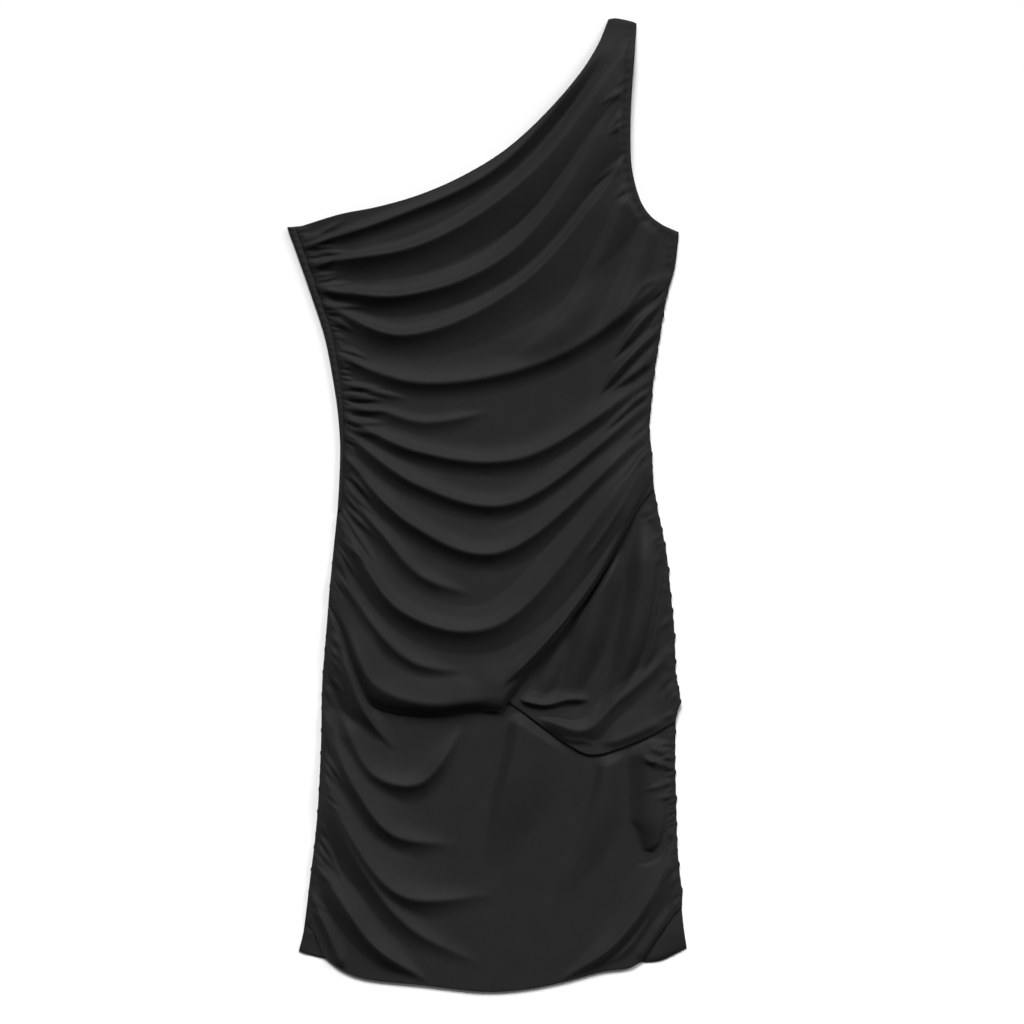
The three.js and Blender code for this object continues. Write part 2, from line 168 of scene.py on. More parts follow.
DRAPE_FOLDS = named_rows(FOLD_COLUMNS, [
    (-173, 251, -158, 256, -146, 262, -130, 271, 2.2, 5, 5, 7, 7, 0, 25, 0, 0),
    (-176, 243, -90, 270, 10, 318, 114, 434, 6.5, 9, 9, 12, 8, 0, 70, 0, 0.6),
    (-170, 236, -150, 238, -135, 237, -115, 238, 2.2, 5, 5, 6, 6, 0, 30, 0, 0),
    (-168, 227, -60, 246, 40, 310, 139, 432, 10.6, 9, 10, 24, 31, 0, 0, 0, 1),
    (-162, 205, -80, 197, 20, 236, 138, 393, 10.6, 16, 10, 18, 28, 0, 0, 0, 1),
    (-154, 189, -80, 160, 30, 206, 137, 329, 9.4, 16, 10, 19, 48, 0, 0, 0, 0.6),
    (-150, 178, -135, 174, -118, 169, -100, 166, 2.5, 5, 5, 6, 6, 0, 20, 0, 0),
    (-142, 139, -60, 115, 66, 140, 174, 217, 7.4, 22, 60, 18, 12, 0, 0, 0, 0.2),
    (100, 156, 126, 176, 148, 206, 176, 214, 5.6, 16, 14, 5, 5, 45, 0, 0, 0.3),
    (-139, 114, -118, 110, -98, 105, -68, 100, 3.2, 8, 8, 8, 9, 0, 35, 0, 0),
    (-138, 103, -125, 103, -110, 101, -88, 97, 2.4, 5, 5, 6, 6, 0, 25, 0, 0),
    (-137, 92, -105, 90, -60, 78, 6, 88, 3.8, 12, 14, 12, 16, 0, 45, 0, 0),
    (-136, 83, -66, 51, 30, 44, 155, 118, 7.4, 18, 30, 15, 20, 0, 0, 0, 0),
    (-136, 69, -64, 19, 20, 1, 153, 95, 7.8, 20, 26, 17, 17, 0, 0, 0, 0),
    (-137, 47, -72, -17, 8, -45, 155, 72, 8.8, 20, 28, 16, 17, 0, 0, 0, 0.3),
    (-138, 18, -102, -23, -62, -66, -10, -86, 5.6, 15, 20, 13, 16, 0, 50, 0, 0),
    (-140, 0, -126, -22, -113, -42, -98, -66, 3.6, 7, 7, 9, 9, 0, 30, 0, 0),
    (-141, -12, -80, -99, 5, -114, 155, 54, 10.2, 22, 20, 19, 26, 0, 0, 0, 0.6),
    (-144, -46, -112, -106, -70, -147, -18, -158, 5.4, 18, 24, 12, 14, 0, 50, 0, 0),
    (-132, -110, -106, -168, -55, -187, 8, -182, 4.4, 24, 24, 12, 12, 50, 30, 0, 0.5),
    (12, -172, 53, -131, 98, -77, 154, 14, 7.4, 13, 12, 8, 8, 30, 0, 0, 0),
    (84, -62, 104, -34, 124, -4, 150, 42, 6.0, 10, 9, 10, 9, 30, 0, 0, 0),
    (117, 134, 131, 154, 147, 175, 168, 193, 7.5, 9, 9, 7, 6, 35, 0, 0, 0.3),
    (104, 100, 121, 124, 141, 146, 163, 165, 7.5, 10, 9, 8, 6, 35, 0, 0, 0.3),
    (112, 104, 130, 118, 146, 131, 159, 143, 6.0, 8, 8, 7, 6, 35, 0, 0, 0.3),
    (92, 54, 112, 71, 132, 91, 154, 109, 5.5, 9, 8, 7, 6, 45, 0, 0, 0.3),
    (96, -10, 114, 12, 132, 34, 154, 62, 6.0, 8, 8, 9, 8, 45, 0, 0, 0),
])
DRAPE_SWELLS = named_rows(FOLD_COLUMNS, [
    (20, 134, 68, 168, 104, 226, 134, 294, 4.6, 13, 10, 30, 20, 60, 15, 0, 0),
    (100, 150, 130, 196, 148, 240, 157, 272, 4.0, 14, 12, 20, 12, 60, 8, 0, 0),
    (-10, 152, 40, 158, 90, 184, 126, 214, 2.4, 26, 30, 26, 30, 60, 60, 0, 0),
])
DRAPE_HOLLOWS = named_rows(FOLD_COLUMNS, [
    (-1, 34, -1, 28, -2, 22, -2, 15, 0.7, 5, 5, 5, 5, 8, 6, 0.4, 0.4),
    (0, -2, 0, -9, 0, -16, 1, -23, 0.7, 5, 5, 5, 5, 8, 6, 0.4, 0.4),
    (2, -46, 1, -54, 1, -60, 1, -68, 0.7, 5, 5, 5, 5, 8, 6, 0.4, 0.4),
])
HIP_SWELLS = named_rows(FOLD_COLUMNS, [
    (66, -204, 90, -140, 106, -84, 120, -14, 11.0, 22, 20, 24, 20, 100, 60, 0, 0),
    (108, -206, 134, -140, 146, -84, 150, -8, 12.5, 20, 18, 17, 14, 100, 50, 0, 0),
    (48, -184, 56, -168, 66, -146, 80, -118, 3.4, 14, 14, 12, 12, 25, 35, 0, 0),
])
HIP_FOLDS = named_rows(FOLD_COLUMNS, [
    (143, -168, 153, -140, 162, -100, 170, -64, 4.6, 6, 6, 9, 8, 40, 0, 0, 0),
    (46, -197, 90, -212, 124, -184, 177, -137, 6.4, 12, 9, 13, 10, 25, 0, 0.5, 0.3),
    (104, -226, 125, -221, 145, -213, 170, -201, 3.5, 20, 20, 8, 8, 20, 20, 0.3, 0.3),
    (30, -183, 54, -188, 78, -183, 99, -184, 4.6, 10, 9, 4, 5, 8, 14, 0.2, 0.2),
    (66, -217, 80, -221, 92, -222, 104, -226, 2.2, 5, 5, 6, 6, 10, 15, 0, 0),
])
HIP_HOLLOWS = named_rows(FOLD_COLUMNS, [
    (42, -192, 62, -199, 84, -200, 103, -190, 3.8, 6, 8, 6, 8, 10, 14, 0, 0),
])
SKIRT_FOLDS = named_rows(FOLD_COLUMNS, [
    (-148, -100, -132, -152, -114, -196, -84, -234, 12, 12, 16, 17, 18, 0, 60, 0.7, 0.2),
    (-140, -192, -106, -254, -64, -262, -20, -206, 8, 30, 24, 22, 14, 30, 50, 0.3, 0),
    (-153, -204, -120, -272, -88, -310, -22, -322, 12, 20, 36, 20, 26, 0, 100, 0.5, 0),
    (-158, -238, -130, -308, -80, -367, 14, -368, 12.5, 22, 44, 22, 30, 0, 120, 0.5, 0),
    (-157, -264, -118, -342, -72, -398, 4, -438, 8.5, 20, 30, 18, 24, 30, 120, 0.4, 0),
    (-163, -334, -138, -371, -105, -415, -52, -452, 11.5, 20, 20, 18, 12, 0, 60, 0.5, 0),
    (-168, -366, -155, -390, -145, -412, -134, -438, 6.5, 12, 10, 8, 8, 0, 12, 0, 0),
    (-160, -300, -150, -322, -139, -348, -128, -366, 2.5, 6, 6, 7, 7, 0, 25, 0, 0),
    (64, -452, 118, -415, 152, -372, 179, -318, 9.5, 16, 30, 9, 18, 60, 0, 0, 0.3),
    (140, -431, 152, -413, 163, -396, 177, -376, 3.5, 9, 12, 9, 9, 12, 0, 0, 0),
    (104, -438, 130, -420, 150, -394, 177, -352, 3.0, 10, 14, 8, 9, 40, 0, 0, 0),
    (148, -223, 158, -229, 166, -234, 177, -240, 3.0, 6, 6, 6, 6, 12, 0, 0, 0),
    (144, -236, 155, -241, 165, -245, 177, -248, 3.0, 6, 6, 6, 6, 12, 0, 0, 0),
])
SKIRT_SWELLS = named_rows(FOLD_COLUMNS, [
    (36, -178, 28, -235, 15, -285, -4, -345, 9.0, 50, 54, 14, 18, 30, 100, 0, 0),
    (114, -206, 111, -258, 98, -312, 66, -372, 6.0, 22, 30, 9, 20, 20, 100, 0, 0),
    (152, -206, 155, -255, 156, -290, 158, -345, 10.0, 15, 15, 24, 24, 30, 55, 0, 0),
])
BACK_FOLDS = named_rows(FOLD_COLUMNS, [
    (163, -429, 170, -412, 175, -398, 180, -386, 3.4, 5, 5, 5, 5, 0, 0, 0, 0),
    (174, -424, 179, -410, 181, -400, 183, -390, 3.0, 4, 4, 4, 4, 0, 8, 0, 0),
    (183, -420, 184, -408, 184, -396, 183, -384, 1.6, 3, 3, 3, 3, 0, 8, 0, 0),
    (-172, -423, -167, -414, -166, -406, -169, -396, 1.8, 4, 4, 4, 4, 0, 8, 0, 0),
])
SKIRT_HOLLOWS = named_rows(FOLD_COLUMNS, [
    (138, -296, 143, -330, 158, -330, 175, -300, 4.0, 10, 9, 10, 9, 15, 20, 0, 0),
])

# Small gathers along a seam: at some heights up the dress, the direction in which they run in, in degrees
# from X, and their mean length and height
GATHER_COLUMNS = ("y", "turn", "length", "high")
LEFT_GATHERS = named_rows(GATHER_COLUMNS, [
    (255, 14, 30, 2.2), (240, 8, 38, 3.0), (225, 3, 34, 2.8), (205, -4, 32, 2.6), (188, -18, 38, 3.0),
    (165, -22, 38, 3.0), (140, -12, 34, 2.8), (115, -6, 40, 3.2), (90, -10, 40, 3.0), (75, -26, 40, 3.2),
    (50, -40, 40, 3.2), (15, -52, 40, 3.0), (-10, -58, 44, 3.0), (-60, -60, 40, 2.4), (-88, -60, 26, 1.4),
])
RIGHT_GATHERS = named_rows(GATHER_COLUMNS, [
    (215, 226, 24, 2.2), (180, 224, 28, 2.4), (150, 222, 30, 2.4), (110, 218, 28, 2.2), (90, 222, 28, 2.0),
    (60, 229, 26, 2.0), (25, 238, 22, 1.4),
])
ARMHOLE_GATHERS = named_rows(GATHER_COLUMNS, [
    (440, 222, 18, 1.6), (400, 214, 30, 3.0), (360, 226, 38, 3.4), (335, 236, 42, 3.4), (300, 222, 26, 2.6),
    (275, 232, 14, 1.2),
])
HIP_GATHERS = named_rows(GATHER_COLUMNS, [
    (10, 200, 18, 1.6), (-20, 196, 20, 1.8), (-60, 240, 16, 1.4), (-130, 232, 24, 2.0), (-160, 226, 24, 2.2),
    (-200, 206, 18, 1.6),
])
SKIRT_LEFT_GATHERS = named_rows(GATHER_COLUMNS, [
    (-95, -62, 26, 2.0), (-200, -62, 34, 2.8), (-300, -60, 32, 2.8), (-350, -52, 30, 2.6),
    (-390, -60, 20, 1.8),
])
SKIRT_RIGHT_GATHERS = named_rows(GATHER_COLUMNS, [
    (-205, 165, 26, 2.2), (-245, 170, 30, 2.6), (-280, 200, 26, 2.4), (-300, 228, 28, 2.4),
    (-340, 243, 26, 2.2), (-375, 235, 20, 1.8),
])
SEED = 7
GATHER_PITCH = 3.6
LONG_GATHERS = 0.3  # the share of the gathers that are long
GATHER_TURN = 13  # degrees to either side
GATHER_SHIFT = 0.3  # shares of the pitch
GATHER_BEND = 0.2
GATHER_FADE = 0.8
GATHER_FULL = 0.4
LONG_LENGTHS, SHORT_LENGTHS = (0.8, 1.3), (0.25, 0.5)
LONG_WIDTHS, SHORT_WIDTHS = (3.0, 6.0), (1.6, 2.8)
LONG_HEIGHTS, SHORT_HEIGHTS = (0.9, 1.4), (0.5, 0.95)

# The armhole's turned edge, and the thread, in millimetres
TURNED_WIDTH = 6.5
TURNED_THICK = 0.5
TURNED_STEP = 1.2
TURNED_RIM = 2.0
CALM_EDGE = 1.5
CALM_EDGE_RAMP = 7.0
STITCH_GROOVE = 0.7
GROOVE_WIDTH = 0.9
PUCKER_HIGH = 0.45
PUCKER_REACH = 6.0
PUCKER_PITCH = 8.5
PUCKER_SWAY = 1.3
PUCKER_SWAY_LENGTH = 17.0
STITCH_PITCH = 3.4
STITCH_LENGTH = 2.4
STITCH_SIDES = 6
# Each ring's place, as a share of half a stitch, and its width, as a share of the thread's
STITCH_RINGS = ((-1, 0.15), (-0.6, 0.85), (0, 1), (0.6, 0.85), (1, 0.15))
STITCH_LINE_STEPS = 120
BAND_STITCH_INSET = 1.6
THREAD = 0.45


def smooth(x):
    """A soft step from 0 to 1."""
    t = np.clip(x, 0.0, 1.0)
    return t * t * (3 - 2 * t)


# Boundary curves

def curve_through(corners, steps=400):
    """A centripetal curve through the corners, as many short straight steps."""
    p = np.array(corners, float)
    p = np.vstack([2 * p[0] - p[1], p, 2 * p[-1] - p[-2]])
    place = np.linspace(0, len(p) - 3, steps + 1)
    k = np.minimum(place.astype(int), len(p) - 4)
    w = (place - k)[:, None]
    a, b, c, d = p[k], p[k + 1], p[k + 2], p[k + 3]
    t0, t1, t2 = (np.maximum(np.linalg.norm(q - r, axis=1), 1e-6)[:, None] ** 0.5
                  for q, r in ((b, a), (c, b), (d, c)))
    start = ((b - a) / t0 - (c - a) / (t0 + t1) + (c - b) / t1) * t1
    end = ((c - b) / t1 - (d - b) / (t1 + t2) + (d - c) / t2) * t1
    return b + start * w + (3 * (c - b) - 2 * start - end) * w ** 2 + (2 * (b - c) + start + end) * w ** 3


def step_lengths(line):
    return np.linalg.norm(np.diff(line, axis=0), axis=1)


def travelled_along(line):
    """How far along a line each of its points is."""
    return np.concatenate([[0], np.cumsum(step_lengths(line))])


def cut_evenly(line, cells):
    """A line of flat points, cut into cells of equal length."""
    travelled = travelled_along(line)
    wanted = np.linspace(0, travelled[-1], cells + 1)
    return np.stack([np.interp(wanted, travelled, line[:, i]) for i in range(2)], axis=1)


def boundary(*pieces):
    """The points of a boundary made of curves, each cut into its own number of equal lengths."""
    points = [cut_evenly(curve_through(corners), cells) for corners, cells in pieces]
    return np.vstack([points[0]] + [more[1:] for more in points[1:]])


def right_of(points):
    """Unit vectors to the right of a line as it runs."""
    ahead = np.gradient(points, axis=0)
    ahead /= np.linalg.norm(ahead, axis=1)[:, None]
    return np.stack([ahead[:, 1], -ahead[:, 0]], axis=1)


def scalloped(points, way, start, end, pitch=SCALLOP_PITCH, depth=SCALLOP_DEPTH):
    """A side seam pulled in between its gathers, from one share of its length to another."""
    travelled = travelled_along(points)
    share = travelled / travelled[-1]
    held = smooth((share - start) / SCALLOP_RAMP) * smooth((end - share) / SCALLOP_RAMP)
    turn = 2 * math.pi * travelled / pitch
    wave = FIRST_WAVE * np.sin(turn) + SECOND_WAVE * np.sin(turn / WAVE_RATIO)
    return points + way * right_of(points) * (depth * held * wave)[:, None]


def level_of(*curves):
    """A function that gives the Y of curves that run from left to right, at an X."""
    points = np.vstack([curve_through(corners) for corners in curves])
    return lambda x: np.interp(x, points[:, 0], points[:, 1])


skirt_top = level_of(SKIRT_TUCK)
hip_top = level_of(HIP_TUCK)
drape_edge = level_of(DRAPE_EDGE_RIGHT)
cover_edge = level_of(DRAPE_EDGE_LEFT, HIP_EDGE[1:])


# Folds

def slope_profile(off, width, full, hollow):
    """The share of a crest's height at a distance from it."""
    share = np.clip((np.hypot(off, CREST_ROUND) - CREST_ROUND) / width, 0, 1)
    return full * (1 - share ** FULL_POWER) + (1 - full) * (1 - share) ** hollow


def soft_profile(off, width):
    """The same for a soft ridge."""
    return (1 - np.clip(off / width, 0, 1) ** 2) ** 2


def places_by(line, points):
    """How far each point is from a line, on which side, more than 0 on the left, and how far along."""
    off = np.full(len(points), np.inf)
    side = np.zeros(len(points))
    along = np.zeros(len(points))
    step = np.linalg.norm(line[1] - line[0])
    for k in range(len(line) - 1):
        ahead = line[k + 1] - line[k]
        beside = points - line[k]
        share = np.clip(beside @ ahead / (ahead @ ahead), 0, 1)
        distance = np.linalg.norm(beside - share[:, None] * ahead, axis=1)
        nearer = distance < off
        off = np.where(nearer, distance, off)
        side = np.where(nearer, ahead[0] * beside[:, 1] - ahead[1] * beside[:, 0], side)
        along = np.where(nearer, (k + share) * step, along)
    return off, side, along


def narrowed(fold, width, along, length):
    """The shares of a fold's height, and its widths, as its ends fade out or are gathered."""
    size = np.ones(len(along))
    for fade, distance in ((fold["fade0"], along), (fold["fade1"], length - along)):
        if fade > 0:
            size *= smooth(distance / fade)
            width = width * (TIP_WIDTH + (1 - TIP_WIDTH) * smooth(distance / fade))
        else:
            opened = PINCH + (1 - PINCH) * smooth(distance / min(PINCH_LENGTH, length / 2))
            size *= opened
            width = width * opened ** PINCH_WIDTH_POWER
    return size, width


def fold_height(fold, xy, soft=False):
    """The height that one fold adds at each point. A soft one has no crease."""
    corners = [(fold[f"x{k}"], fold[f"y{k}"]) for k in range(4)]
    line = cut_evenly(curve_through(corners), CREST_STEPS)
    reach = max(fold[name] for name in ("rise0", "rise1", "fall0", "fall1")) + 1
    near = np.all((xy > line.min(0) - reach) & (xy < line.max(0) + reach), axis=1)
    off, side, along = places_by(line, xy[near])
    length = CREST_STEPS * np.linalg.norm(line[1] - line[0])
    rise, fall, full = (fold[name + "0"] + (fold[name + "1"] - fold[name + "0"]) * smooth(along / length)
                        for name in ("rise", "fall", "full"))
    size, width = narrowed(fold, np.where(side > 0, rise, fall), along, length)
    hollow = np.where(side > 0, RISE_HOLLOW, FALL_HOLLOW)
    profile = soft_profile(off, width) if soft else slope_profile(off, width, full, hollow)
    height = np.zeros(len(xy))
    height[near] = fold["high"] * size * profile
    return height


def blended(folds, xy):
    """Folds that run into each other, with a crease where they meet."""
    return sum(fold_height(fold, xy) ** FOLD_BLEND for fold in folds) ** (1 / FOLD_BLEND)


def fold_field(xy, folds, gathers, swells, hollows):
    """The height of all the folds together at each point, never below the panel's own level."""
    raised = blended(folds, xy) + blended(gathers, xy)
    swollen = sum((fold_height(swell, xy, soft=True) for swell in swells), np.zeros(len(xy)))
    sunk = sum((fold_height(hollow, xy, soft=True) for hollow in hollows), np.zeros(len(xy)))
    return np.maximum(raised + swollen - sunk, 0)


def gather_folds(seam, rows):
    """Uneven folds, some long and more short, that run in from a seam in the directions of a table."""
    random = np.random.default_rng(SEED)
    table = sorted(rows, key=lambda row: row["y"])
    heights = [row["y"] for row in table]
    starts = cut_evenly(seam, round(step_lengths(seam).sum() / GATHER_PITCH))
    folds = []
    for x, y in starts[1:-1]:
        turn, length, high = (np.interp(y, heights, [row[name] for row in table])
                              for name in ("turn", "length", "high"))
        long = random.uniform() < LONG_GATHERS
        angle = math.radians(turn + random.uniform(-GATHER_TURN, GATHER_TURN))
        length = length * random.uniform(*(LONG_LENGTHS if long else SHORT_LENGTHS))
        y = y + random.uniform(-GATHER_SHIFT, GATHER_SHIFT) * GATHER_PITCH
        bend = random.uniform(-GATHER_BEND, GATHER_BEND)
        rise, fall = random.uniform(*(LONG_WIDTHS if long else SHORT_WIDTHS), 2)
        size = random.uniform(*(LONG_HEIGHTS if long else SHORT_HEIGHTS))
        fold = {"high": high * size, "rise0": rise, "rise1": rise, "fall0": fall, "fall1": fall,
                "fade0": 0, "fade1": GATHER_FADE * length, "full0": GATHER_FULL, "full1": 0}
        for k in range(4):
            run = length * k / 3
            aside = bend * run * k / 3
            fold[f"x{k}"] = x + run * math.cos(angle) - aside * math.sin(angle)
            fold[f"y{k}"] = y + run * math.sin(angle) + aside * math.cos(angle)
        folds.append(fold)
    return folds


# What the front panels climb over

FIRST_LAYER = BACK_THICK + SEAM_GAP + CAD_WALL / 2
LAYER_STEP = CAD_WALL + LAYER_GAP


def over_skirt(x, y):
    """The rise of a panel that climbs over the top of the skirt's front."""
    return LAYER_STEP * smooth((skirt_top(x) + LAYER_RAMP - y) / LAYER_RAMP)


def over_hip(x, y):
    """The rise of the front drape where it climbs over the hip drape."""
    reach = smooth((x - HIP_TUCK[0][0] + LAYER_RAMP) / LAYER_RAMP)
    return LAYER_STEP * reach * smooth((hip_top(x) + LAYER_RAMP - y) / LAYER_RAMP)


def nearest_on(line, xy):
    """How far each point is from a line, and how far along the line that place is."""
    off = np.full(len(xy), np.inf)
    along = np.zeros(len(xy))
    for corner, place in zip(line, travelled_along(line)):
        distance = np.linalg.norm(xy - corner, axis=1)
        along = np.where(distance < off, place, along)
        off = np.minimum(off, distance)
    return off, along


def turned_edge(line, xy):
    """The share of the folds that a turned and stitched edge lets through, and its own relief."""
    off, along = nearest_on(line, xy)
    shown = smooth((off - TURNED_WIDTH + CALM_EDGE) / CALM_EDGE_RAMP)
    groove = STITCH_GROOVE * np.exp(-((off - TURNED_WIDTH) / GROOVE_WIDTH) ** 2)
    sway = PUCKER_SWAY * np.sin(along / PUCKER_SWAY_LENGTH)
    wave = np.sin(2 * math.pi * along / PUCKER_PITCH + sway)
    pucker = PUCKER_HIGH * wave * smooth(1 - np.abs(off - TURNED_WIDTH) / PUCKER_REACH)
    relief = TURNED_THICK * smooth((TURNED_WIDTH - off) / TURNED_STEP) - groove + pucker
    return shown, relief * smooth(off / TURNED_RIM)


def off_seams(xy, *seams):
    """How far each point is from the nearest of some seams."""
    return np.min([nearest_on(curve_through(seam, SEAM_STEPS), xy)[0] for seam in seams], axis=0)


def laid_down(folds, off):
    """The part of the folds that a seam lets through at a distance from it, less its own sink."""
    shown = SEAM_HELD + (1 - SEAM_HELD) * np.sqrt(smooth(off / SEAM_REACH))
    return shown * folds - SEAM_SINK * np.exp(-(off / SEAM_SINK_REACH) ** 2)


# Shells of cloth

def panel_grid(top, bottom, left, right):
    """Points that blend between four boundaries, row by row."""
    u = np.linspace(0, 1, len(top))[None, :, None]
    v = np.linspace(0, 1, len(left))[:, None, None]
    across = (1 - u) * left[:, None] + u * right[:, None]
    down = (1 - v) * top[None] + v * bottom[None]
    corners = (1 - v) * ((1 - u) * top[0] + u * top[-1]) + v * ((1 - u) * bottom[0] + u * bottom[-1])
    return across + down - corners


def grid_normals(points):
    """Unit vectors that stand up from a grid of points."""
    across = np.gradient(points, axis=1)
    down = np.gradient(points, axis=0)
    normals = np.cross(down, across)
    return normals / np.linalg.norm(normals, axis=2)[..., None]


def edge_roll(columns, extra, start, end):
    """The radius to which a free edge rolls under, larger between two shares of its length."""
    share = np.linspace(0, 1, columns + 1)
    return EDGE_ROLL + extra * smooth((share - start) / ROLL_IN) * smooth((end - share) / ROLL_OUT)


def rounded_drop(off):
    """The share of its drop that a free edge has taken at a distance from it."""
    return (1 - np.clip(off / EDGE_BLEND, 0, 1)) ** EDGE_DROP_POWER


def curl_rows(points, radius):
    """Rows that carry a panel's last row round a half circle, under and back in."""
    edge = points[-1]
    out = edge - points[-3]
    out[:, 2] = 0
    out /= np.linalg.norm(out, axis=1)[:, None]
    down = np.array([0, 0, -1.0])
    rows = []
    for angle in np.linspace(0, math.pi, ROLL_STEPS + 1)[1:]:
        rows.append(edge + radius[:, None] * (math.sin(angle) * out + (1 - math.cos(angle)) * down))
    rows.append(rows[-1] - out * ROLL_TAIL)
    return np.concatenate([points, np.array(rows)])


def rolled_under(xy, z, level, roll, depth):
    """A grid of cloth whose last row drops to a level and rolls under."""
    off = (1 - np.linspace(0, 1, len(z)))[:, None] * depth
    z = z + (level - z[-1])[None] * rounded_drop(off)
    return curl_rows(np.dstack([xy, z]), roll)


def smooth_object(name, points, faces):
    """A smooth-shaded object in the scene, from points in millimetres."""
    mesh = bpy.data.meshes.new(name)
    mesh.from_pydata((np.array(points) * MM).tolist(), [], faces)
    mesh.update()
    mesh.polygons.foreach_set("use_smooth", [True] * len(mesh.polygons))
    piece = bpy.data.objects.new(name, mesh)
    bpy.context.scene.collection.objects.link(piece)
    return piece


def shell_mesh(name, points, thick=CLOTH):
    """A closed shell round a grid of points, with rounded edges."""
    rows, columns = points.shape[:2]
    half = grid_normals(points) * thick / 2
    upper = (points + half).reshape(-1, 3)
    lower = (points - half).reshape(-1, 3)
    rim = rim_loop(rows, columns)
    middle = points.reshape(-1, 3)[rim]
    ring = middle + rim_outward(points, rim) * thick / 2
    count = rows * columns
    faces = grid_faces(rows, columns)
    sides = []
    for k in range(len(rim)):
        n = (k + 1) % len(rim)
        sides.append((rim[k], rim[n], 2 * count + n, 2 * count + k))
        sides.append((2 * count + k, 2 * count + n, count + rim[n], count + rim[k]))
    under = [tuple(count + i for i in reversed(face)) for face in faces]
    return smooth_object(name, np.vstack([upper, lower, ring]), faces + under + sides)


def grid_faces(rows, columns):
    """The cells of a grid of points, as four indices each."""
    start = (np.arange(rows - 1)[:, None] * columns + np.arange(columns - 1)[None]).ravel()
    return np.stack([start, start + columns, start + columns + 1, start + 1], axis=1).tolist()


def rim_loop(rows, columns):
    """Grid indices round the rim, in the direction that turns its side faces outwards."""
    top = list(range(columns))
    right = [j * columns + columns - 1 for j in range(1, rows)]
    bottom = [(rows - 1) * columns + i for i in range(columns - 2, -1, -1)]
    left = [j * columns for j in range(rows - 2, 0, -1)]
    return np.array(top + right + bottom + left)


def rim_outward(points, rim):
    """Unit vectors that lead out of a grid of points at its rim."""
    rows, columns = points.shape[:2]
    flat = points.reshape(-1, 3)
    inner = np.clip(rim // columns, 1, rows - 2) * columns + np.clip(rim % columns, 1, columns - 2)
    out = flat[rim] - flat[inner]
    return out / np.linalg.norm(out, axis=1)[:, None]


def settle(piece, node):
    """Hands a piece to the frame as the cloth that stands for a node."""
    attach(piece, "root")
    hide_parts(node)
    piece.data.materials.append(crepe)


def thread_row(name, line, cloth):
    """Small rounded stitches along a line, on the nearest points of a grid of cloth."""
    places = cut_evenly(line, int(step_lengths(line).sum() / STITCH_PITCH))
    grid = cloth.reshape(-1, 3)
    points, faces = [], []
    for start, end in zip(places[:-1], places[1:]):
        ahead = (end - start) / np.linalg.norm(end - start)
        middle = (start + end) / 2
        level = grid[np.argmin(np.linalg.norm(grid[:, :2] - middle, axis=1)), 2] + CLOTH / 2
        stitch(points, faces, middle, ahead, level)
    piece = smooth_object(name, points, faces)
    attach(piece, "root")
    piece.data.materials.append(thread)


def stitch(points, faces, middle, ahead, level):
    """One stitch: a tube that is thick at its middle and closed at both ends."""
    first = len(points)
    last = first + (len(STITCH_RINGS) - 1) * STITCH_SIDES
    aside = np.array([-ahead[1], ahead[0]])
    for share, swell in STITCH_RINGS:
        for k in range(STITCH_SIDES):
            turn = 2 * math.pi * k / STITCH_SIDES
            place = middle + ahead * share * STITCH_LENGTH / 2 + aside * math.cos(turn) * swell * THREAD / 2
            points.append((*place, level + math.sin(turn) * swell * THREAD / 2))
    for low in range(first, last, STITCH_SIDES):
        high = low + STITCH_SIDES
        for k in range(STITCH_SIDES):
            n = (k + 1) % STITCH_SIDES
            faces.append((low + k, high + k, high + n, low + n))
    faces.append(tuple(range(first, first + STITCH_SIDES)))
    faces.append(tuple(range(last + STITCH_SIDES - 1, last - 1, -1)))


# Materials

def set_inputs(node, inputs):
    for name, value in inputs.items():
        node.inputs[name].default_value = value


def new_material(name, inputs):
    """A material whose shader has these inputs."""
    material = bpy.data.materials.new(name)
    material.use_nodes = True
    set_inputs(material.node_tree.nodes["Principled BSDF"], inputs)
    return material


def add_node(material, kind, inputs):
    node = material.node_tree.nodes.new(kind)
    set_inputs(node, inputs)
    return node


def connect(material, source, output, target, target_input):
    material.node_tree.links.new(source.outputs[output], target.inputs[target_input])


def thread_material():
    """Black polyester thread, a little smoother than the crepe, with its twist."""
    black = (0.009, 0.009, 0.0095, 1)
    material = new_material("thread", {"Roughness": 0.5, "Specular IOR Level": 0.25, "Base Color": black})
    shader = material.node_tree.nodes["Principled BSDF"]
    place = add_node(material, "ShaderNodeTexCoord", {})
    twist = add_node(material, "ShaderNodeTexWave", {"Scale": 1400})
    bump = add_node(material, "ShaderNodeBump", {"Strength": 0.5, "Distance": 0.0001})
    connect(material, place, "Object", twist, "Vector")
    connect(material, twist, "Fac", bump, "Height")
    connect(material, bump, "Normal", shader, "Normal")
    return material


